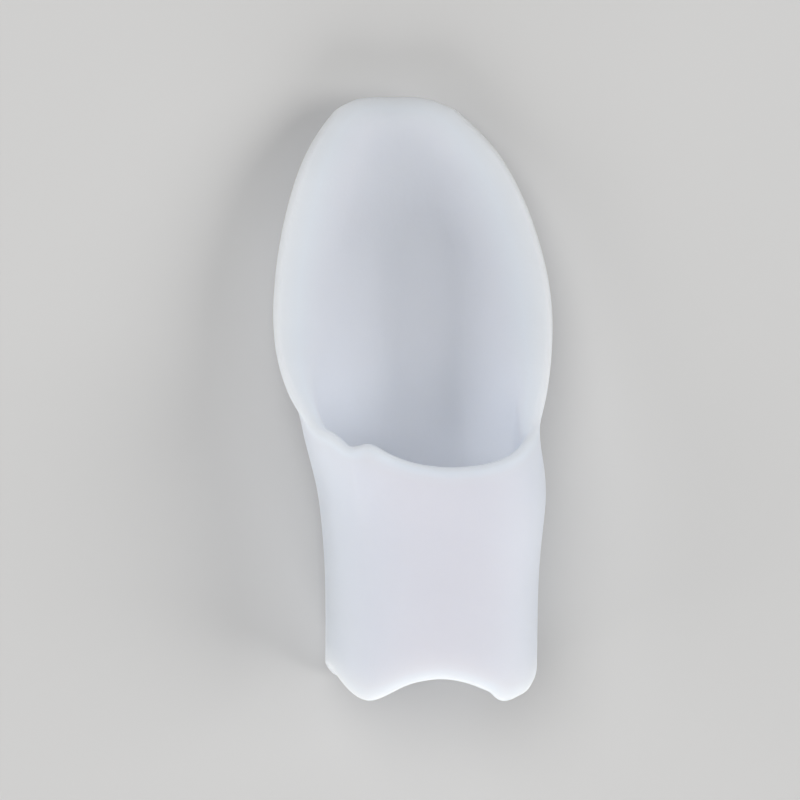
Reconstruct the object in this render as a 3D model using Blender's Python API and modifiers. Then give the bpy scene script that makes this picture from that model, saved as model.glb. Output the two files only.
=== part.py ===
"""Gel toe separator: a toe sleeve with a bunion shield, moulded in one piece of soft white gel.

The big toe goes through the sleeve. Its upper wall is the separator, which sits between the first two
toes, and its lower wall runs on past the sleeve's mouth as a spoon-shaped shield over the bunion.

Frame: metres, +Z up. The part lies on the back of the shield and sleeve, as it comes to rest when it is
put down, with the hollow facing up. +Y runs from the toe end to the tip of the shield, and the origin is
the centre of the part's box, on the surface that it lies on.

The outer skin starts as an open cylinder, whose back half is extruded row by row into the shield. Each
vertex has a column, counted round the sleeve from its right side over the separator, and a row, counted
from the toe end. Solidify gives the skin its wall, thick or thin as the vertex group says, and
Subdivision Surface rounds every edge as the mould does.
"""

import math

import bmesh
import bpy
from mathutils import Vector

# Sleeve
SLEEVE_LENGTH = 0.0336  # toe end to the waist, where the mouth's rim turns into the shield's edge
TOE_END_WIDTH = 0.0262
MOUTH_WIDTH = 0.0295
TOE_END_HEIGHT = 0.0205
MOUTH_HEIGHT = 0.0225
SWELL_FROM = 0.37  # share of the sleeve's length where it starts to widen towards the mouth
SLEEVE_SQUARENESS = 2.7  # power of the superellipse: 2 is an ellipse, more has flatter walls

# The mouth is scooped in the separator wall. Its rim stands higher at the left, behind a small notch
MOUTH_SCOOP = 0.0036
MOUTH_SCOOP_WIDTH = 0.0200
MOUTH_SCOOP_SHIFT = 0.0026  # the scoop stands to the right of the middle by this
MOUTH_RISE = 0.0011
NOTCH_DEPTH = 0.0019
NOTCH_ANGLE = math.radians(128)  # round the sleeve from its right side, over the separator
NOTCH_WIDTH = math.radians(10)

# The toe end is cut back at its sides, and arched in the middle of both broad walls
TOE_SIDE_SCOOP = 0.0036
TOE_SIDE_POWER = 4.5
TOE_ARCH_DEPTH = 0.0038
TOE_ARCH_WIDTH = 0.0156
TOE_ARCH_SHIFT = 0.0010  # the arch stands to the left of the middle by this
SCOOP_FADE = 2.0  # how fast the rows of the cage straighten away from each end

# Shield
SHIELD_LENGTH = 0.0412  # waist to tip
SHIELD_WIDTH = 0.0362
WIDEST_AT = 0.317  # share of the shield's length, from the waist
SHOULDER_AT = 0.930  # where its sides turn into the tip
SIDE_CURVE = 1.64  # powers of the curve from the widest place to the tip
SIDE_ROUNDNESS = 2.68
TIP_FLATNESS = 3.4  # power of the tip's own curve, which is nearly straight in the middle
CROWN_POWER = 3.0  # how late the rows of the cage start to bow towards the tip
SHIELD_OFFSET = 0.0020  # how far the shield stands to the left of the sleeve
OFFSET_FROM = 0.0085  # the centre line starts to move across this far before the waist
OFFSET_TO = 0.0005  # and has got there this far past it
SHIELD_SWAY = 0.0017  # how far the shield's tip leans further left
SWAY_POWER = 3.4
EDGE_HEIGHT_WIDEST = 0.0100  # of the shield's edges above the surface that the part lies on
EDGE_HEIGHT_TIP = 0.0056
TIP_LIFT = 0.0034  # the spoon's end curls up by this
LIFT_FROM = 0.48  # share of the shield's length where the curl starts
SHIELD_OPENING = math.radians(60)  # slope of the shield's wings at their edges
OPENING_POWER = 0.7  # under 1, the edges lean outwards sooner than the shield widens
HOLLOW_SHIFT = 0.0030  # the hollow is deepest this far to the right of the shield's middle

# Wall
SEPARATOR_WALL = 0.0034
SIDE_WALL = 0.0021
BACK_WALL = 0.0023
SHIELD_WALL = 0.0026
EDGE_WALL = 0.0011  # at every free edge
END_TAPER = 0.0032  # width of the band over which the wall thins towards the sleeve's ends and the tip
WING_TAPER = 0.0080  # and towards the edges of the shield's feathered wings
WINGS_END = 0.60  # share of the shield's length where the band starts to narrow towards the tip
SETTLE = 0.0005  # how far the soft gel flattens where it lies

# Cage
COLUMNS = 36  # round the sleeve, a multiple of 4
RAISED_COLUMNS = 2  # the shield's edges start this many columns above the middle of the sleeve's sides
SLEEVE_ROWS = 8
SHIELD_ROWS = 11
SMOOTHING = 1  # levels of Subdivision Surface

GEL_COLOUR = (0.80, 0.82, 0.86, 1.0)

RIGHT_EDGE = RAISED_COLUMNS  # columns at the shield's two edges
LEFT_EDGE = COLUMNS // 2 - RAISED_COLUMNS
BACK_MIDDLE = 3 * COLUMNS // 4
LAST_ROW = SLEEVE_ROWS + SHIELD_ROWS


def blend(first, second, share):
    """A value between first and second."""
    return first + (second - first) * share


def ease(share):
    """A share from 0 to 1 that starts and stops gently."""
    share = min(1.0, max(0.0, share))
    return share * share * (3 - 2 * share)


def ease_out(share):
    """A share from 0 to 1 that starts fast and stops gently."""
    return math.sin(math.pi / 2 * min(1.0, share))


def signed_power(value, power):
    """A power that keeps the value's sign."""
    return math.copysign(abs(value) ** power, value)


def column_angle(column):
    """The column's angle round the sleeve: 0 at the right side, a quarter turn at the separator."""
    return 2 * math.pi * column / COLUMNS


def is_separator(column):
    """Whether the column ends at the mouth. The others run on into the shield."""
    return RIGHT_EDGE < column < LEFT_EDGE


def across(column):
    """A shield column's place across it, from -1 at the left edge to 1 at the right edge."""
    turned = column if column >= LEFT_EDGE else column + COLUMNS
    return (turned - BACK_MIDDLE) / (BACK_MIDDLE - LEFT_EDGE)


def centre_line(y):
    """Where the section's middle is along X, at a distance y from the toe end."""
    to_shield = ease((y - SLEEVE_LENGTH + OFFSET_FROM) / (OFFSET_FROM + OFFSET_TO))
    along_shield = max(0.0, (y - SLEEVE_LENGTH) / SHIELD_LENGTH)
    return -SHIELD_OFFSET * to_shield - SHIELD_SWAY * along_shield**SWAY_POWER


def spread(share):
    """How far the sleeve has opened out into the shield: 0 at the waist, 1 from the widest place on."""
    return ease_out(share / WIDEST_AT)


def shield_half_width(share):
    """Half the shield's width at a share of its length: it swells from the waist, then rounds to the tip."""
    if share < WIDEST_AT:
        return blend(MOUTH_WIDTH, SHIELD_WIDTH, spread(share)) / 2
    to_tip = (share - WIDEST_AT) / (1 - WIDEST_AT)
    return SHIELD_WIDTH / 2 * (1 - to_tip**SIDE_CURVE) ** (1 / SIDE_ROUNDNESS)


def edge_height(share):
    """Height of the shield's edges at a share of its length: they fall from the sleeve's sides."""
    raised = math.sin(column_angle(RAISED_COLUMNS)) ** (2 / SLEEVE_SQUARENESS)
    if share < WIDEST_AT:
        return blend(MOUTH_HEIGHT / 2 * (1 + raised), EDGE_HEIGHT_WIDEST, spread(share))
    return blend(EDGE_HEIGHT_WIDEST, EDGE_HEIGHT_TIP, ease((share - WIDEST_AT) / (1 - WIDEST_AT)))


def toe_cut(angle, x):
    """How far the toe end is cut back, at an angle round the sleeve and a distance x from its middle."""
    sides = TOE_SIDE_SCOOP * abs(math.cos(angle)) ** TOE_SIDE_POWER
    return sides + TOE_ARCH_DEPTH * max(0.0, 1 - (2 * (x + TOE_ARCH_SHIFT) / TOE_ARCH_WIDTH) ** 2)


def mouth_cut(angle, x):
    """How far the mouth's rim is cut back, at an angle round the sleeve and a distance x from its middle."""
    inside = max(0.0, 1 - (2 * (x - MOUTH_SCOOP_SHIFT) / MOUTH_SCOOP_WIDTH) ** 2)
    scoop = MOUTH_SCOOP * math.sqrt(inside) if math.sin(angle) > 0 else 0.0
    rise = MOUTH_RISE * max(0.0, -math.cos(angle)) * ease(1 + math.sin(angle))
    return scoop - rise + NOTCH_DEPTH * math.exp(-(((angle - NOTCH_ANGLE) / NOTCH_WIDTH) ** 2))


def sleeve_point(column, row):
    """A vertex of the sleeve's outer skin."""
    share = row / SLEEVE_ROWS
    swell = ease((share - SWELL_FROM) / (1 - SWELL_FROM))
    half_height = blend(TOE_END_HEIGHT, MOUTH_HEIGHT, share) / 2
    angle = column_angle(column)
    power = 2 / SLEEVE_SQUARENESS
    x = blend(TOE_END_WIDTH, MOUTH_WIDTH, swell) / 2 * signed_power(math.cos(angle), power)
    z = half_height * (1 + signed_power(math.sin(angle), power))
    y = SLEEVE_LENGTH * share
    y += toe_cut(angle, x) * (1 - share) ** SCOOP_FADE - mouth_cut(angle, x) * share**SCOOP_FADE
    return Vector((x + centre_line(SLEEVE_LENGTH * share), y, max(0.0, z - SETTLE)))


def shield_point(column, row):
    """A vertex of the shield's outer skin. The last row runs along the tip, from shoulder to shoulder."""
    place = across(column)
    progress = (row - SLEEVE_ROWS) / SHIELD_ROWS
    share = SHOULDER_AT * progress
    crown = (1 - SHOULDER_AT) * SHIELD_LENGTH * progress**CROWN_POWER
    opened = spread(share) ** OPENING_POWER
    power = blend(2 / SLEEVE_SQUARENESS, 1.0, opened)
    edge = blend(math.pi / 2 + column_angle(RAISED_COLUMNS), SHIELD_OPENING, opened)
    turn = place * edge
    widest = math.sin(min(edge, math.pi / 2)) ** power
    outward = signed_power(math.sin(turn), power) / widest
    x = shield_half_width(share) * outward
    y = SLEEVE_LENGTH + SHIELD_LENGTH * share + crown * (1 - abs(outward) ** TIP_FLATNESS)
    shift = 2 * HOLLOW_SHIFT / SHIELD_WIDTH * ease(share / WIDEST_AT)
    slope = (place - shift * (1 - place**2)) * edge
    rise = (1 - signed_power(math.cos(slope), power)) / (1 - signed_power(math.cos(edge), power))
    lift = TIP_LIFT * ease((share - LIFT_FROM) / (1 - LIFT_FROM))
    z = lift + (edge_height(share) - lift) * rise
    return Vector((x + centre_line(y), y, max(0.0, z - SETTLE)))


def skin_point(column, row):
    """A vertex of the outer skin."""
    return sleeve_point(column, row) if row <= SLEEVE_ROWS else shield_point(column, row)


def distance_to_edge(column, row):
    """How far a vertex is from the nearest free edge, measured along its row or column."""
    here = skin_point(column, row)
    if is_separator(column):
        ends = [(column, 0), (column, SLEEVE_ROWS)]
    else:
        side = RIGHT_EDGE if across(column) > 0 else LEFT_EDGE
        ends = [(column, 0), (column, LAST_ROW), (side, max(row, SLEEVE_ROWS))]
    return min((here - skin_point(*end)).length for end in ends)


def taper_at(y):
    """Width of the band over which the wall thins, at a distance y from the toe end."""
    share = (y - SLEEVE_LENGTH) / SHIELD_LENGTH
    wing = ease(share / WIDEST_AT) * (1 - ease((share - WINGS_END) / (1 - WINGS_END)))
    return blend(END_TAPER, WING_TAPER, wing)


def wall_at(column, row):
    """Thickness of the gel behind a vertex of the outer skin."""
    side = math.sin(column_angle(column))
    if side > 0:
        full = blend(SIDE_WALL, SEPARATOR_WALL, side**2)
    else:
        full = blend(SIDE_WALL, BACK_WALL, side**2)
    to_shield = ease((row - SLEEVE_ROWS / 2) / SLEEVE_ROWS)
    if not is_separator(column):
        full = blend(full, SHIELD_WALL, to_shield)
    taper = taper_at(skin_point(column, row).y)
    return blend(EDGE_WALL, full, ease_out(distance_to_edge(column, row) / taper))


def number_cylinder(bm, column, row):
    """Writes each vertex's column and row, from where it stands on the plain cylinder."""
    for vert in bm.verts:
        turn = math.atan2(vert.co.y, vert.co.x) / (2 * math.pi)
        vert[column] = round(turn * COLUMNS) % COLUMNS
        vert[row] = round((vert.co.z + 0.5) * SLEEVE_ROWS)


def extrude_shield(bm, column, row):
    """Runs the back half of the mouth's ring on, row by row, to the shield's tip."""
    front = [
        edge
        for edge in bm.edges
        if all(vert[row] == SLEEVE_ROWS and not is_separator(vert[column]) for vert in edge.verts)
    ]
    for step in range(1, SHIELD_ROWS + 1):
        made = bmesh.ops.extrude_edge_only(bm, edges=front)["geom"]
        new = {item for item in made if isinstance(item, bmesh.types.BMVert)}
        for vert in new:
            vert[row] = SLEEVE_ROWS + step
        front = [item for item in made if isinstance(item, bmesh.types.BMEdge) and new.issuperset(item.verts)]


def gel_material():
    """White gel: smooth, a little glossy, and milky."""
    material = bpy.data.materials.new("white_gel")
    material.use_nodes = True
    shader = material.node_tree.nodes["Principled BSDF"]
    shader.inputs["Base Color"].default_value = GEL_COLOUR
    shader.inputs["Roughness"].default_value = 0.45
    shader.inputs["Subsurface Weight"].default_value = 0.6
    shader.inputs["Subsurface Scale"].default_value = 0.003
    return material


def make_skin(name):
    """The outer skin as an open mesh, with the wall's thickness in a vertex group."""
    bm = bmesh.new()
    bmesh.ops.create_cone(bm, segments=COLUMNS, radius1=1, radius2=1, depth=1, cap_ends=False)
    upright = [edge for edge in bm.edges if abs(edge.verts[0].co.z - edge.verts[1].co.z) > 0.5]
    bmesh.ops.subdivide_edges(bm, edges=upright, cuts=SLEEVE_ROWS - 1, use_grid_fill=True)
    column = bm.verts.layers.int.new("column")
    row = bm.verts.layers.int.new("row")
    number_cylinder(bm, column, row)
    extrude_shield(bm, column, row)
    weights = bm.verts.layers.deform.verify()
    thickest = max(SEPARATOR_WALL, SIDE_WALL, BACK_WALL, SHIELD_WALL)
    for vert in bm.verts:
        vert.co = skin_point(vert[column], vert[row])
        vert[weights][0] = wall_at(vert[column], vert[row]) / thickest
    bmesh.ops.recalc_face_normals(bm, faces=bm.faces)
    mesh = bpy.data.meshes.new(name)
    bm.to_mesh(mesh)
    bm.free()
    return mesh, thickest


def make_separator(collection):
    """The whole part: skin, wall and rounded edges."""
    name = "toe_separator"
    mesh, thickest = make_skin(name)
    part = bpy.data.objects.new(name, mesh)
    collection.objects.link(part)
    part.vertex_groups.new(name="wall")
    mesh.materials.append(gel_material())
    mesh.shade_smooth()

    wall = part.modifiers.new("wall", "SOLIDIFY")
    wall.thickness = thickest
    wall.offset = -1
    wall.vertex_group = "wall"

    smooth = part.modifiers.new("rounded_edges", "SUBSURF")
    smooth.levels = SMOOTHING
    smooth.render_levels = SMOOTHING
    return part


def centre_on_ground(part):
    """Puts the origin at the middle of the part's box, on the surface that it lies on."""
    bpy.context.view_layer.update()
    shown = part.evaluated_get(bpy.context.evaluated_depsgraph_get())
    corners = [Vector(corner) for corner in shown.bound_box]
    low = Vector([min(corner[axis] for corner in corners) for axis in range(3)])
    high = Vector([max(corner[axis] for corner in corners) for axis in range(3)])
    middle = (low + high) / 2
    part.location = (-middle.x, -middle.y, -low.z)


def clear_scene():
    """Removes what a new Blender file starts with."""
    for thing in list(bpy.data.objects):
        bpy.data.objects.remove(thing)


def main():
    """Builds the part in a collection of its own."""
    clear_scene()
    collection = bpy.data.collections.new("toe_separator")
    bpy.context.scene.collection.children.link(collection)
    centre_on_ground(make_separator(collection))


main()
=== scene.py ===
"""A gel toe separator: a sleeve for the big toe with a spoon-shaped bunion shield.

The part is one moulding of soft, milky gel. Its skin starts as an open cylinder, whose back half is
extruded into the shield, and is then refined, trimmed along its rims and given its wall.
"""

import logging
import math
from dataclasses import dataclass
from enum import Enum

import bmesh
import bpy
from mathutils import Matrix, Vector, noise
from mathutils.kdtree import KDTree


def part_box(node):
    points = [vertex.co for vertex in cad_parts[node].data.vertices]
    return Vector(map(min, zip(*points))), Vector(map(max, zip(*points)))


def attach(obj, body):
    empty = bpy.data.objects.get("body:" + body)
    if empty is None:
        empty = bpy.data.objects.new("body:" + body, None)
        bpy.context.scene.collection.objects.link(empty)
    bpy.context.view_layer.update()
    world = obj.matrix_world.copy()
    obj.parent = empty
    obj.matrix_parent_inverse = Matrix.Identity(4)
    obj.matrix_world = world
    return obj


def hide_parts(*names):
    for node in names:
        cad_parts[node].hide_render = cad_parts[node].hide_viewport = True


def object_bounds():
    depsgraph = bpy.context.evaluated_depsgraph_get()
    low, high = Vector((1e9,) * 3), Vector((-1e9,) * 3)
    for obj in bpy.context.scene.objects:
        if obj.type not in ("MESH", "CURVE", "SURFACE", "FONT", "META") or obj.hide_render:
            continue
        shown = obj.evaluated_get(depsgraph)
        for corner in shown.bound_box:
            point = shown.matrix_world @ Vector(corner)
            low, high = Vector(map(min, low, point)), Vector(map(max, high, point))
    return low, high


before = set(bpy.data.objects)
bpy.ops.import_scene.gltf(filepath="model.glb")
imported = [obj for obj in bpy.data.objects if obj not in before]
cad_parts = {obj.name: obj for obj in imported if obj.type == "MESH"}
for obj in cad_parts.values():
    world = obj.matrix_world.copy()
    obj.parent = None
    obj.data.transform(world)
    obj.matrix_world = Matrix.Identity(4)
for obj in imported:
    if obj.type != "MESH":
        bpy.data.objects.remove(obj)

log = logging.getLogger("toe_separator")

IMAGE_SIZE = 800
MARK_FALL = 1.5
# Each vertex's wall as a share of the thickest, by which the gel's material paints light and shade.
DEPTH_ATTRIBUTE = "gel_depth"
WALL_GROUP = "wall"
Colour = tuple[float, float, float]
Span = tuple[float, float]


def blend(first: float, second: float, share: float) -> float:
    """Return a value between first and second."""
    return first + (second - first) * share


def ease(share: float) -> float:
    """Return a share from 0 to 1 that starts and stops gently."""
    share = min(1.0, max(0.0, share))
    return share * share * (3 - 2 * share)


def ease_out(share: float) -> float:
    """Return a share from 0 to 1 that starts fast and stops gently."""
    return math.sin(math.pi / 2 * min(1.0, share))


def signed_power(value: float, power: float) -> float:
    """Return a power of the value that keeps its sign."""
    return math.copysign(abs(value) ** power, value)


@dataclass(frozen=True)
class Grid:
    """Columns and rows of the gel's cage.

    Columns are counted round the sleeve from its right side over the separator wall. Rows are counted
    from the toe end, over the mouth, to the shield's tip.
    """

    columns: int = 36
    raised: int = 2
    sleeve_rows: int = 8
    shield_rows: int = 11

    @property
    def left_edge(self) -> int:
        """Return the column of the shield's left edge."""
        return self.columns // 2 - self.raised

    @property
    def back_middle(self) -> int:
        """Return the column along the middle of the back."""
        return 3 * self.columns // 4

    def angle(self, column: float) -> float:
        """Return a column's angle round the sleeve, a quarter turn at the separator."""
        return 2 * math.pi * column / self.columns

    def is_separator(self, column: int) -> bool:
        """Return whether a column ends at the mouth instead of running on into the shield."""
        return self.raised < column < self.left_edge

    def across(self, column: int) -> float:
        """Return a shield column's place, from -1 at the left edge to 1 at the right edge."""
        turned = column if column >= self.left_edge else column + self.columns
        return (turned - self.back_middle) / (self.back_middle - self.left_edge)


@dataclass(frozen=True)
class Sleeve:
    """The open sleeve that the big toe goes through, with the separator as its upper wall."""

    length: float = 0.0336
    toe_end_width: float = 0.0262
    mouth_width: float = 0.0295
    toe_end_height: float = 0.0205
    mouth_height: float = 0.0225
    swell_from: float = 0.37
    squareness: float = 2.7
    round_from: float = 0.45
    mouth_scoop: float = 0.0036
    mouth_scoop_width: float = 0.0200
    mouth_scoop_shift: float = 0.0026
    mouth_rise: float = 0.0011
    notch_depth: float = 0.0019
    notch_angle: float = math.radians(128)
    notch_width: float = math.radians(10)
    toe_side_scoop: float = 0.0036
    toe_side_power: float = 7.0
    toe_arch_depth: float = 0.0033
    toe_arch_width: float = 0.0156
    toe_arch_shift: float = 0.0010
    scoop_fade: float = 2.0

    def toe_cut(self, angle: float, x: float) -> float:
        """Return how far the toe end is cut back.

        Args:
            angle: angle round the sleeve, in radians.
            x: distance from the sleeve's middle plane, in metres.

        Returns:
            The distance in metres.
        """
        sides = self.toe_side_scoop * abs(math.cos(angle)) ** self.toe_side_power
        inside = max(0.0, 1 - (2 * (x + self.toe_arch_shift) / self.toe_arch_width) ** 2)
        return sides + self.toe_arch_depth * inside

    def mouth_cut(self, angle: float, x: float) -> float:
        """Return how far the mouth's rim is cut back.

        Args:
            angle: angle round the sleeve, in radians.
            x: distance from the sleeve's middle plane, in metres.

        Returns:
            The distance in metres, negative where the rim stands higher than the waist.
        """
        inside = max(0.0, 1 - (2 * (x - self.mouth_scoop_shift) / self.mouth_scoop_width) ** 2)
        scoop = self.mouth_scoop * math.sqrt(inside) if math.sin(angle) > 0 else 0.0
        rise = self.mouth_rise * max(0.0, -math.cos(angle)) * ease(1 + math.sin(angle))
        notch = math.exp(-(((angle - self.notch_angle) / self.notch_width) ** 2))
        return scoop - rise + self.notch_depth * notch

    def point(self, angle: float, share: float) -> Vector:
        """Return a point of the sleeve's outer skin.

        Args:
            angle: angle round the sleeve, in radians.
            share: place along the sleeve, 0 at the toe end and 1 at the mouth.

        Returns:
            The point, with X from the sleeve's middle plane and Z from its lowest line.
        """
        swell = ease((share - self.swell_from) / (1 - self.swell_from))
        is_back = math.sin(angle) < 0
        rounded = ease((share - self.round_from) / (1 - self.round_from)) if is_back else 0.0
        power = blend(2 / self.squareness, 1.0, rounded)
        width = blend(self.toe_end_width, self.mouth_width, swell)
        height = blend(self.toe_end_height, self.mouth_height, share)
        x = width / 2 * signed_power(math.cos(angle), power)
        z = height / 2 * (1 + signed_power(math.sin(angle), power))
        toe = self.toe_cut(angle, x) * (1 - share) ** self.scoop_fade
        mouth = self.mouth_cut(angle, x) * share**self.scoop_fade
        return Vector((x, self.length * share + toe - mouth, z))


@dataclass(frozen=True)
class Shield:
    """The spoon-shaped shield that the sleeve's back wall runs on into."""

    length: float = 0.0412
    width: float = 0.0362
    widest_at: float = 0.317
    shoulder_at: float = 0.930
    side_curve: float = 1.64
    side_roundness: float = 2.68
    tip_flatness: float = 3.4
    crown_power: float = 3.0
    offset: float = 0.0020
    offset_from: float = 0.0085
    offset_to: float = 0.0005
    sway: float = 0.0017
    sway_power: float = 3.4
    edge_height: float = 0.0100
    edge_fall: float = 2.5
    tip_lift: float = 0.0034
    lift_from: float = 0.48
    opening: float = math.radians(60)
    opening_tip: float = math.radians(32)
    opening_power: float = 0.7
    hollow_shift: float = 0.0030

    def spread(self, share: float) -> float:
        """Return how far the sleeve has opened out, 0 at the waist and 1 from the widest place on."""
        return ease_out(share / self.widest_at)

    def half_width(self, share: float, waist_width: float) -> float:
        """Return half the shield's width.

        Args:
            share: place along the shield, 0 at the waist and 1 at the tip.
            waist_width: width at the waist, in metres.

        Returns:
            The half width in metres.
        """
        if share < self.widest_at:
            return blend(waist_width, self.width, self.spread(share)) / 2
        to_tip = (share - self.widest_at) / (1 - self.widest_at)
        return self.width / 2 * (1 - to_tip**self.side_curve) ** (1 / self.side_roundness)

    def lift(self, share: float) -> float:
        """Return how far the lowest line has curled up at a share of the shield's length."""
        return self.tip_lift * ease((share - self.lift_from) / (1 - self.lift_from))

    def edges_above(self, share: float, waist_height: float) -> float:
        """Return how far the edges stand above the lowest line.

        Args:
            share: place along the shield, 0 at the waist and 1 at the tip.
            waist_height: their height at the waist, in metres.

        Returns:
            The height in metres.
        """
        if share < self.widest_at:
            return blend(waist_height, self.edge_height, self.spread(share))
        return self.edge_height * (2 * self.half_width(share, self.width) / self.width) ** self.edge_fall

    def centre_line(self, past_waist: float, depth: float) -> float:
        """Return where the section's middle is along X.

        Args:
            past_waist: distance past the waist, in metres.
            depth: 0 at the edges and 1 on the lowest line, which stays nearly in line with the sleeve.

        Returns:
            The place along X in metres.
        """
        across = ease((past_waist + self.offset_from) / (self.offset_from + self.offset_to))
        lean = max(0.0, past_waist / self.length) ** self.sway_power
        hollow = self.hollow_shift * depth * (1 - lean)
        return (hollow - self.offset) * across - self.sway * lean

    def point(self, place: float, progress: float, sleeve: Sleeve, edge_angle: float) -> Vector:
        """Return a point of the shield's outer skin.

        Args:
            place: place across the shield, -1 at the left edge and 1 at the right edge.
            progress: place along the shield, 0 at the waist and 1 at the tip's edge.
            sleeve: the sleeve that the shield grows out of.
            edge_angle: how far above the middle of the sleeve's sides the edges start, in radians.

        Returns:
            The point, with X from the sleeve's middle plane and Z from its lowest line.
        """
        share = self.shoulder_at * progress
        crown = (1 - self.shoulder_at) * self.length * progress**self.crown_power
        to_tip = ease((share - self.widest_at) / (1 - self.widest_at))
        opening = blend(self.opening, self.opening_tip, to_tip)
        edge = blend(math.pi / 2 + edge_angle, opening, self.spread(share) ** self.opening_power)
        outward = math.sin(place * edge) / math.sin(min(edge, math.pi / 2))
        x = self.half_width(share, sleeve.mouth_width) * outward
        y = sleeve.length + self.length * share + crown * (1 - abs(outward) ** self.tip_flatness)
        x += self.centre_line(y - sleeve.length, math.cos(place * math.pi / 2) ** 2)
        raised = math.sin(edge_angle) ** (2 / sleeve.squareness)
        height = self.edges_above(share, sleeve.mouth_height / 2 * (1 + raised))
        rise = (1 - math.cos(place * edge)) / (1 - math.cos(edge))
        return Vector((x, y, self.lift(share) + height * rise))


@dataclass(frozen=True)
class Wall:
    """Thickness of the gel, in metres."""

    separator: float = 0.0034
    side: float = 0.0021
    back: float = 0.0023
    shield: float = 0.0027
    edge: float = 0.0009
    end_taper: float = 0.0022
    wing_taper: float = 0.0080
    tip_taper: float = 0.0032
    wings_end: float = 0.60

    @property
    def thickest(self) -> float:
        """Return the largest thickness."""
        return max(self.separator, self.side, self.back, self.shield)

    def full(self, angle: float, to_shield: float, is_separator: bool) -> float:
        """Return the thickness away from the rims.

        Args:
            angle: angle round the sleeve, in radians.
            to_shield: 0 in the sleeve and 1 in the shield, between them in between.
            is_separator: whether the place is on the wall that ends at the mouth.

        Returns:
            The thickness in metres.
        """
        upward = math.sin(angle)
        broad = self.separator if upward > 0 else self.back
        thickness = blend(self.side, broad, upward**2)
        return thickness if is_separator else blend(thickness, self.shield, to_shield)

    def near_rim(self, full: float, distance: float, share: float, widest_at: float) -> float:
        """Return the thickness near a rim, over a band that is wide along the shield's wings.

        Args:
            full: thickness further in.
            distance: distance from the nearest rim.
            share: place along the shield, 0 at the waist and 1 at the tip.
            widest_at: share at which the shield is widest.

        Returns:
            The thickness in metres.
        """
        to_tip = ease((share - self.wings_end) / (1 - self.wings_end))
        on_shield = blend(self.wing_taper, self.tip_taper, to_tip)
        taper = blend(self.end_taper, on_shield, ease(share / widest_at))
        return blend(self.edge, full, ease_out(distance / taper))


class RimMark(Enum):
    """Small marks along the rims: centre in metres from the toe end, reach and depth in metres."""

    MOUTH_NOTCH = ((-0.0116, 0.0328, 0.0204), 0.0020, 0.0003)
    MOUTH_BUMP = ((-0.0100, 0.0329, 0.0210), 0.0022, -0.0003)
    TOE_END_LOBE = ((0.0073, 0.0008, 0.0191), 0.0022, -0.0005)
    TOE_END_NICK = ((0.0056, 0.0012, 0.0195), 0.0010, 0.0002)
    TIP_NICK = ((0.0029, 0.0739, 0.0036), 0.0012, 0.0001)

    def step(self, place: Vector) -> float:
        """Return how far the mark makes the rim step in.

        Args:
            place: a place on the rim.

        Returns:
            The distance in metres, negative where the rim steps out.
        """
        centre, reach, depth = self.value
        near = 1 - ((place - Vector(centre)).length / reach) ** 2
        return depth * max(0.0, near) ** MARK_FALL


class MaterialNodes:
    """A material under construction, whose textures lie on Object coordinates."""

    def __init__(self, name: str) -> None:
        """Start the material with its shader and its coordinates.

        Args:
            name: name of the material.
        """
        self.material = bpy.data.materials.new(name)
        self.material.use_nodes = True
        self.nodes = self.material.node_tree.nodes
        self.links = self.material.node_tree.links
        self.shader = self.nodes["Principled BSDF"]
        self.place = self.nodes.new("ShaderNodeTexCoord")

    def set(self, values: dict[str, float | tuple[float, ...]]) -> None:
        """Set constant values directly on the shader's sockets."""
        for name, value in values.items():
            self.shader.inputs[name].default_value = value

    def noise(self, scale: float, detail: float) -> bpy.types.NodeSocket:
        """Add a noise texture.

        Args:
            scale: how many patches there are to a metre, roughly.
            detail: how many finer layers are added to them.

        Returns:
            The socket of its value.
        """
        texture = self.nodes.new("ShaderNodeTexNoise")
        texture.inputs["Scale"].default_value = scale
        texture.inputs["Detail"].default_value = detail
        self.links.new(self.place.outputs["Object"], texture.inputs["Vector"])
        return texture.outputs["Fac"]

    def spread(self, value: bpy.types.NodeSocket, span: Span, to_span: Span) -> bpy.types.NodeSocket:
        """Add a node that maps a span of values to another.

        Args:
            value: socket of the value.
            span: the value's span.
            to_span: the span that it becomes.

        Returns:
            The socket of the result.
        """
        node = self.nodes.new("ShaderNodeMapRange")
        for name, bound in zip(("From Min", "From Max", "To Min", "To Max"), (*span, *to_span)):
            node.inputs[name].default_value = bound
        self.links.new(value, node.inputs["Value"])
        return node.outputs["Result"]


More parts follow.
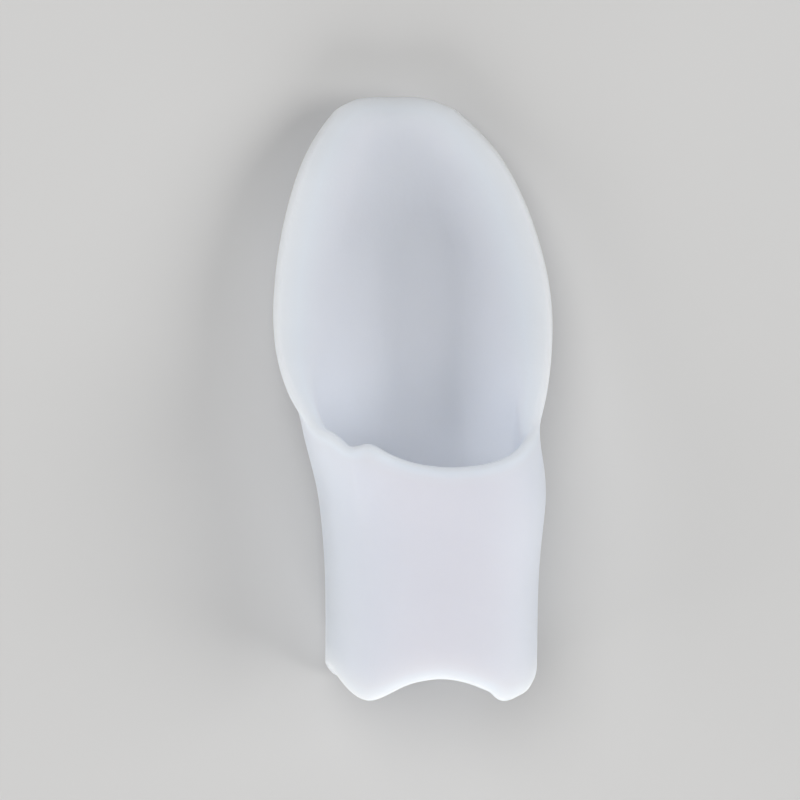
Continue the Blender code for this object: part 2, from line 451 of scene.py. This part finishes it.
@dataclass(frozen=True)
class MilkyGel:
    """White gel with a satin skin and its own random cloudiness, painted lighter where thinner and darker
    where thicker: painted light through thinner gel, painted shade on thicker gel.
    """

    # Painted light and shade: thinner walls get the lighter, cooler colour for light shining through
    # them, thicker walls the darker one.
    thin_painted_glow: Colour = (0.71, 0.77, 0.87)
    thick_painted_shade: Colour = (0.69, 0.685, 0.735)
    depth_span: Span = (0.55, 1.0)
    painted_glow_span: Span = (-0.15, 0.85)
    cloud_scale: float = 110.0
    cloud_detail: float = 4.0
    cloud_share: float = 0.2
    roughness: Span = (0.44, 0.56)
    patch_span: Span = (0.3, 0.7)
    patch_scale: float = 260.0
    patch_detail: float = 3.0
    grain_scale: float = 2600.0
    grain_detail: float = 2.0
    grain_strength: float = 0.25
    grain_height: float = 0.00003
    scatter_distance: float = 0.0080
    scatter_tint: Colour = (1.0, 0.98, 0.95)
    ior: float = 1.42
    specular: float = 0.38

    def colour(self, made: MaterialNodes) -> bpy.types.NodeSocket:
        """Add the nodes that paint light and shade: a lighter, cooler colour on thinner walls and a
        darker one on thicker walls, mixed with the gel's own random cloudiness.

        Args:
            made: the material under construction.

        Returns:
            The socket of the colour.
        """
        depth = made.nodes.new("ShaderNodeAttribute")
        depth.attribute_name = DEPTH_ATTRIBUTE
        cloud_and_painted_glow = made.nodes.new("ShaderNodeMath")
        cloud_and_painted_glow.operation = "MULTIPLY_ADD"
        cloud_and_painted_glow.inputs[1].default_value = self.cloud_share
        cloud_and_painted_glow.use_clamp = True
        # Painted light and shade: lighter, cooler colour on thinner walls, darker colour on thicker
        # walls.
        painted_glow_mix = made.nodes.new("ShaderNodeMix")
        painted_glow_mix.data_type = "RGBA"
        painted_glow_mix.inputs["A"].default_value = (*self.thin_painted_glow, 1.0)
        painted_glow_mix.inputs["B"].default_value = (*self.thick_painted_shade, 1.0)
        made.links.new(made.noise(self.cloud_scale, self.cloud_detail), cloud_and_painted_glow.inputs[0])
        made.links.new(made.spread(depth.outputs["Fac"], self.depth_span, self.painted_glow_span), cloud_and_painted_glow.inputs[2])
        made.links.new(cloud_and_painted_glow.outputs["Value"], painted_glow_mix.inputs["Factor"])
        return painted_glow_mix.outputs["Result"]

    def material(self) -> bpy.types.Material:
        """Build the finish.

        Returns:
            A material on Object coordinates and the piece's own thickness attribute.
        """
        made = MaterialNodes("milky_gel")
        made.set({
            "Subsurface Weight": 1.0,
            "Subsurface Radius": self.scatter_tint,
            "Subsurface Scale": self.scatter_distance,
            "IOR": self.ior,
            "Specular IOR Level": self.specular,
        })
        patches = made.noise(self.patch_scale, self.patch_detail)
        satin = made.spread(patches, self.patch_span, self.roughness)
        grain = made.nodes.new("ShaderNodeBump")
        grain.inputs["Strength"].default_value = self.grain_strength
        grain.inputs["Distance"].default_value = self.grain_height
        made.links.new(made.noise(self.grain_scale, self.grain_detail), grain.inputs["Height"])
        made.links.new(self.colour(made), made.shader.inputs["Base Color"])
        made.links.new(satin, made.shader.inputs["Roughness"])
        made.links.new(grain.outputs["Normal"], made.shader.inputs["Normal"])
        return made.material


@dataclass(frozen=True)
class GelSeparator:
    """The whole moulding, with lengths in metres."""

    grid: Grid = Grid()
    sleeve: Sleeve = Sleeve()
    shield: Shield = Shield()
    wall: Wall = Wall()
    finish: MilkyGel = MilkyGel()
    settle: float = 0.0005
    refining: int = 2
    rounding: int = 1
    waviness: float = 0.00010
    wave_scale: float = 110.0
    rim_waviness: float = 0.00007
    rim_wave_scale: float = 900.0
    end_rounding: float = 0.00017
    wing_rounding: float = 0.00062
    rim_reach: float = 0.0030
    rim_points: int = 4
    rim_blend: int = 24

    def skin_point(self, column: int, row: int) -> Vector:
        """Return a vertex of the outer skin's cage.

        Args:
            column: its column, counted round the sleeve.
            row: its row, counted from the toe end.

        Returns:
            The place, with X from the sleeve's middle plane, Y from the toe end and Z from the floor.
        """
        if row <= self.grid.sleeve_rows:
            share = row / self.grid.sleeve_rows
            angle = self.grid.angle(column)
            point = self.sleeve.point(angle, share)
            depth = max(0.0, -math.sin(angle)) ** 2
            point.x += self.shield.centre_line(self.sleeve.length * (share - 1), depth)
        else:
            progress = (row - self.grid.sleeve_rows) / self.grid.shield_rows
            edge_angle = self.grid.angle(self.grid.raised)
            point = self.shield.point(self.grid.across(column), progress, self.sleeve, edge_angle)
        point.z = max(0.0, point.z - self.settle)
        return point

    def full_wall(self, column: int, row: int) -> float:
        """Return the wall behind a vertex of the cage, before it thins towards the rims.

        Args:
            column: the vertex's column.
            row: the vertex's row.

        Returns:
            The wall as a share of the thickest wall.
        """
        to_shield = ease((row - self.grid.sleeve_rows / 2) / self.grid.sleeve_rows)
        angle = self.grid.angle(column)
        full = self.wall.full(angle, to_shield, self.grid.is_separator(column))
        return full / self.wall.thickest

    def cage(self) -> bmesh.types.BMesh:
        """Build the coarse outer skin.

        Returns:
            An open mesh whose vertices carry the full wall as the weight of their first group.
        """
        grid = self.grid
        bm = bmesh.new()
        bmesh.ops.create_cone(bm, segments=grid.columns, radius1=1, radius2=1, depth=1, cap_ends=False)
        upright = [edge for edge in bm.edges if abs(edge.verts[0].co.z - edge.verts[1].co.z) > 0.5]
        bmesh.ops.subdivide_edges(bm, edges=upright, cuts=grid.sleeve_rows - 1, use_grid_fill=True)
        column = bm.verts.layers.int.new("column")
        row = bm.verts.layers.int.new("row")
        for vert in bm.verts:
            turn = math.atan2(vert.co.y, vert.co.x) / (2 * math.pi)
            vert[column] = round(turn * grid.columns) % grid.columns
            vert[row] = round((vert.co.z + 0.5) * grid.sleeve_rows)
        waist = {
            vert
            for vert in bm.verts
            if vert[row] == grid.sleeve_rows and not grid.is_separator(vert[column])
        }
        front = [edge for edge in bm.edges if waist.issuperset(edge.verts)]
        for step in range(1, grid.shield_rows + 1):
            made = bmesh.ops.extrude_edge_only(bm, edges=front)["geom"]
            new = {item for item in made if isinstance(item, bmesh.types.BMVert)}
            for vert in new:
                vert[row] = grid.sleeve_rows + step
            edges = [item for item in made if isinstance(item, bmesh.types.BMEdge)]
            front = [edge for edge in edges if new.issuperset(edge.verts)]
        weights = bm.verts.layers.deform.verify()
        for vert in bm.verts:
            vert.co = self.skin_point(vert[column], vert[row])
            vert[weights][0] = self.full_wall(vert[column], vert[row])
        corners = [vert for vert in bm.verts if len(vert.link_edges) == 2]
        bmesh.ops.dissolve_verts(bm, verts=corners)
        bmesh.ops.recalc_face_normals(bm, faces=bm.faces)
        bm.verts.sort(key=lambda vert: vert[row] * grid.columns + vert[column])
        bm.verts.index_update()
        for items in (bm.edges, bm.faces):
            items.sort(key=self.order)
        return bm

    def order(self, item: bmesh.types.BMEdge | bmesh.types.BMFace) -> int:
        """Return a number that puts the cage's edges or faces in the same order in every run."""
        ends = sorted(vert.index for vert in item.verts)
        return ends[0] * self.grid.columns**2 + ends[-1]

    def refine(self, bm: bmesh.types.BMesh) -> bmesh.types.BMesh:
        """Smooth the coarse skin into a fine one.

        Args:
            bm: the cage, which is freed.

        Returns:
            The refined skin, with the same weights.
        """
        mesh = bpy.data.meshes.new("refining")
        bm.to_mesh(mesh)
        bm.free()
        helper = bpy.data.objects.new("refining", mesh)
        bpy.context.scene.collection.objects.link(helper)
        helper.vertex_groups.new(name=WALL_GROUP)
        smooth = helper.modifiers.new("smooth", "SUBSURF")
        smooth.levels = self.refining
        smooth.render_levels = self.refining
        shown = helper.evaluated_get(bpy.context.evaluated_depsgraph_get())
        fine = bmesh.new()
        fine.from_mesh(shown.to_mesh())
        shown.to_mesh_clear()
        bpy.data.objects.remove(helper)
        bpy.data.meshes.remove(mesh)
        return fine

    def inward(self, vert: bmesh.types.BMVert) -> Vector:
        """Return the direction from the rim into the skin.

        Args:
            vert: a vertex on the rim.

        Returns:
            The direction, along the skin and square to the rim.
        """
        loops = [edge.link_loops[0] for edge in vert.link_edges if edge.is_boundary]
        along = sum((loop.link_loop_next.vert.co - loop.vert.co for loop in loops), Vector())
        return vert.normal.cross(along).normalized()

    def rim_tree(self, bm: bmesh.types.BMesh) -> KDTree:
        """Build a search tree of points along the rims.

        Args:
            bm: the refined skin.

        Returns:
            The tree, whose points carry the index of the nearer end of their edge.
        """
        edges = [edge for edge in bm.edges if edge.is_boundary]
        tree = KDTree(len(edges) * (self.rim_points + 1))
        for edge in edges:
            start, end = edge.verts
            for point in range(self.rim_points + 1):
                share = point / self.rim_points
                nearer = start if share < 0.5 else end
                tree.insert(start.co.lerp(end.co, share), nearer.index)
        tree.balance()
        return tree

    def rim_step(self, vert: bmesh.types.BMVert) -> Vector:
        """Return how a rim vertex moves, for the mould's rounding, unevenness and small marks.

        Args:
            vert: a vertex on the rim.

        Returns:
            The move, along the skin and square to the rim.
        """
        inward = self.inward(vert)
        step = blend(self.wing_rounding, self.end_rounding, abs(inward.y))
        step += noise.noise(vert.co * self.rim_wave_scale) * self.rim_waviness
        step += sum(mark.step(vert.co) for mark in RimMark)
        return inward * step

    def trim(self, bm: bmesh.types.BMesh) -> None:
        """Give the rims their rounding, marks and unevenness, and the skin its faint waves.

        Args:
            bm: the refined skin.
        """
        bm.normal_update()
        bm.verts.index_update()
        steps = {vert.index: self.rim_step(vert) for vert in bm.verts if vert.is_boundary}
        tree = self.rim_tree(bm)
        moves = []
        for vert in bm.verts:
            near = tree.find_n(vert.co, self.rim_blend)
            nearest = near[0][2]
            shares = [1 / (distance + nearest + self.rim_waviness) for _, _, distance in near]
            step = sum((steps[index] * share for (_, index, _), share in zip(near, shares)), Vector())
            move = step / sum(shares) * max(0.0, 1 - nearest / self.rim_reach) ** 2
            if vert.co.z > self.settle:
                move += vert.normal * noise.noise(vert.co * self.wave_scale) * self.waviness
            moves.append(move)
        for vert, move in zip(bm.verts, moves):
            vert.co += move
            vert.co.z = max(0.0, vert.co.z)

    def thin_rims(self, bm: bmesh.types.BMesh) -> list[float]:
        """Thin the wall towards every rim.

        Args:
            bm: the refined skin, whose weights change from the full wall to the real one.

        Returns:
            Each vertex's wall, as a share of the thickest.
        """
        tree = self.rim_tree(bm)
        weights = bm.verts.layers.deform.verify()
        walls = []
        for vert in bm.verts:
            distance = tree.find(vert.co)[2]
            full = vert[weights][0] * self.wall.thickest
            share = (vert.co.y - self.sleeve.length) / self.shield.length
            wall = self.wall.near_rim(full, distance, share, self.shield.widest_at)
            vert[weights][0] = wall / self.wall.thickest
            walls.append(vert[weights][0])
        return walls

    def seat(self, piece: bpy.types.Object, node: str) -> None:
        """Fit the piece's mesh into the box of the frame's solid.

        Args:
            piece: the finished piece, at the origin.
            node: name of the solid that it replaces.
        """
        low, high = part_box(node)
        shown = piece.evaluated_get(bpy.context.evaluated_depsgraph_get())
        places = [vert.co.copy() for vert in shown.to_mesh().vertices]
        shown.to_mesh_clear()
        own_low = Vector([min(place[axis] for place in places) for axis in range(3)])
        own_high = Vector([max(place[axis] for place in places) for axis in range(3)])
        middle = (low + high) / 2
        own_middle = (own_low + own_high) / 2
        sizes = [(high[axis] - low[axis]) / (own_high[axis] - own_low[axis]) for axis in range(3)]
        fit = Matrix.Diagonal((*sizes, 1.0))
        piece.data.transform(Matrix.Translation(middle) @ fit @ Matrix.Translation(-own_middle))
        log.info("%s: fitted by %s", piece.name, [round(size, 4) for size in sizes])

    def build(self, name: str, node: str) -> bpy.types.Object:
        """Build the moulding.

        Args:
            name: name of the piece.
            node: name of the frame's solid that it replaces.

        Returns:
            The finished piece.
        """
        skin = self.refine(self.cage())
        self.trim(skin)
        walls = self.thin_rims(skin)
        mesh = bpy.data.meshes.new(name)
        skin.to_mesh(mesh)
        skin.free()
        # The wall share by which the gel's material paints thinner walls lighter and thicker walls
        # darker.
        depth = mesh.attributes.new(DEPTH_ATTRIBUTE, "FLOAT", "POINT")
        depth.data.foreach_set("value", walls)
        mesh.materials.append(self.finish.material())
        mesh.shade_smooth()
        piece = bpy.data.objects.new(name, mesh)
        bpy.context.scene.collection.objects.link(piece)
        piece.vertex_groups.new(name=WALL_GROUP)

        wall = piece.modifiers.new("wall", "SOLIDIFY")
        wall.thickness = self.wall.thickest
        wall.offset = -1
        wall.vertex_group = WALL_GROUP
        smooth = piece.modifiers.new("rounded_rims", "SUBSURF")
        smooth.levels = self.rounding
        smooth.render_levels = self.rounding
        bpy.context.view_layer.update()
        self.seat(piece, node)
        return piece


@dataclass(frozen=True)
class PaleFloor:
    """A plain, pale and matte floor."""

    half_size: float = 10.0
    colour: Colour = (0.645, 0.64, 0.63)
    roughness: Span = (0.85, 0.95)
    specular: float = 0.2
    patch_scale: float = 12.0
    patch_detail: float = 2.0

    def material(self) -> bpy.types.Material:
        """Build the floor's finish, with a faint unevenness in its sheen.

        Returns:
            A material on Object coordinates.
        """
        made = MaterialNodes("pale_floor")
        made.set({"Base Color": (*self.colour, 1.0), "Specular IOR Level": self.specular})
        patches = made.noise(self.patch_scale, self.patch_detail)
        sheen = made.spread(patches, (0.0, 1.0), self.roughness)
        made.links.new(sheen, made.shader.inputs["Roughness"])
        return made.material

    def build(self) -> bpy.types.Object:
        """Build the floor as one large flat square.

        Returns:
            The floor, with its top at the height on which the part lies.
        """
        bm = bmesh.new()
        bmesh.ops.create_grid(bm, x_segments=1, y_segments=1, size=self.half_size)
        mesh = bpy.data.meshes.new("floor")
        bm.to_mesh(mesh)
        bm.free()
        mesh.materials.append(self.material())
        floor = bpy.data.objects.new("floor", mesh)
        bpy.context.scene.collection.objects.link(floor)
        return floor


class SoftLamp(Enum):
    """Broad soft lamps: bearing from +Y towards +X and height, in degrees, and watts per square metre."""

    TOE_END = (180, 15, 2.12)
    RIGHT = (90, 35, 1.38)
    FAR_LEFT = (315, 60, 1.31)
    LEFT = (270, 15, 0.80)

    def build(self, spread: float) -> bpy.types.Object:
        """Build the lamp.

        Args:
            spread: angle that the lamp fills as seen from the part, in radians.

        Returns:
            The lamp, aimed at the part.
        """
        bearing, height, strength = self.value
        bearing, height = math.radians(bearing), math.radians(height)
        from_part = Vector((math.sin(bearing), math.cos(bearing), 0.0)) * math.cos(height)
        from_part.z = math.sin(height)
        data = bpy.data.lights.new(f"soft_lamp_{self.name.lower()}", "SUN")
        data.energy = strength
        data.angle = spread
        lamp = bpy.data.objects.new(data.name, data)
        lamp.rotation_euler = from_part.to_track_quat("Z", "Y").to_euler()
        bpy.context.scene.collection.objects.link(lamp)
        return lamp


@dataclass(frozen=True)
class Studio:
    """Plain soft light round the part."""

    air: Colour = (0.94, 0.96, 1.0)
    air_strength: float = 0.12
    backdrop: Colour = (0.63, 0.625, 0.615)
    lamp_spread: float = math.radians(40)

    def build(self) -> None:
        """Build the lamps and the world, which the camera sees in the floor's tone."""
        for lamp in SoftLamp:
            lamp.build(self.lamp_spread)
        world = bpy.data.worlds.new("studio")
        bpy.context.scene.world = world
        world.use_nodes = True
        nodes = world.node_tree.nodes
        links = world.node_tree.links
        air = nodes["Background"]
        air.inputs["Color"].default_value = (*self.air, 1.0)
        air.inputs["Strength"].default_value = self.air_strength
        seen = nodes.new("ShaderNodeBackground")
        seen.inputs["Color"].default_value = (*self.backdrop, 1.0)
        seen.inputs["Strength"].default_value = 1.0
        path = nodes.new("ShaderNodeLightPath")
        choice = nodes.new("ShaderNodeMixShader")
        links.new(path.outputs["Is Camera Ray"], choice.inputs["Fac"])
        links.new(air.outputs["Background"], choice.inputs[1])
        links.new(seen.outputs["Background"], choice.inputs[2])
        links.new(choice.outputs["Shader"], nodes["World Output"].inputs["Surface"])
        bpy.context.scene.view_settings.view_transform = "Standard"


@dataclass(frozen=True)
class Viewpoint:
    """The camera: nearly above the part, a little towards the shield's tip and to the left."""

    distance: float = 0.45
    tip_side: float = math.radians(6.5)
    left_side: float = math.radians(11)
    pixels_per_metre: float = 8070.0
    part_right_of_middle: float = 0.00211
    part_above_middle: float = 0.00023

    def build(self, middle: Vector) -> bpy.types.Object:
        """Build the camera and make it the scene's own.

        Args:
            middle: the middle of the part's box.

        Returns:
            The camera.
        """
        back = Vector((-math.sin(self.left_side), math.sin(self.tip_side), 0.0))
        back.z = math.sqrt(1 - back.length_squared)
        right = Vector((0, 1, 0)).cross(back).normalized()
        up = back.cross(right)
        data = bpy.data.cameras.new("camera")
        data.lens = data.sensor_width * self.pixels_per_metre * self.distance / IMAGE_SIZE
        camera = bpy.data.objects.new("camera", data)
        turn = Matrix((right, up, back)).transposed().to_4x4()
        place = middle + back * self.distance
        place -= right * self.part_right_of_middle + up * self.part_above_middle
        camera.matrix_world = Matrix.Translation(place) @ turn
        bpy.context.scene.collection.objects.link(camera)
        bpy.context.scene.camera = camera
        return camera


def main() -> None:
    """Build the part, its floor, the light and the camera."""
    logging.basicConfig(level=logging.INFO, format="%(message)s")
    cad_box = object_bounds()
    separator = GelSeparator().build("gel_separator", "toe_separator")
    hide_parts("toe_separator")
    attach(separator, "root")
    log.info("%s: %d faces before its modifiers", separator.name, len(separator.data.polygons))
    floor = PaleFloor().build()
    log.info("%s: built", floor.name)
    Studio().build()
    log.info("studio: %d soft lamps", len(SoftLamp))
    camera = Viewpoint().build((cad_box[0] + cad_box[1]) / 2)
    log.info("%s: lens %.1f mm", camera.name, camera.data.lens)


if __name__ == "__main__":
    main()
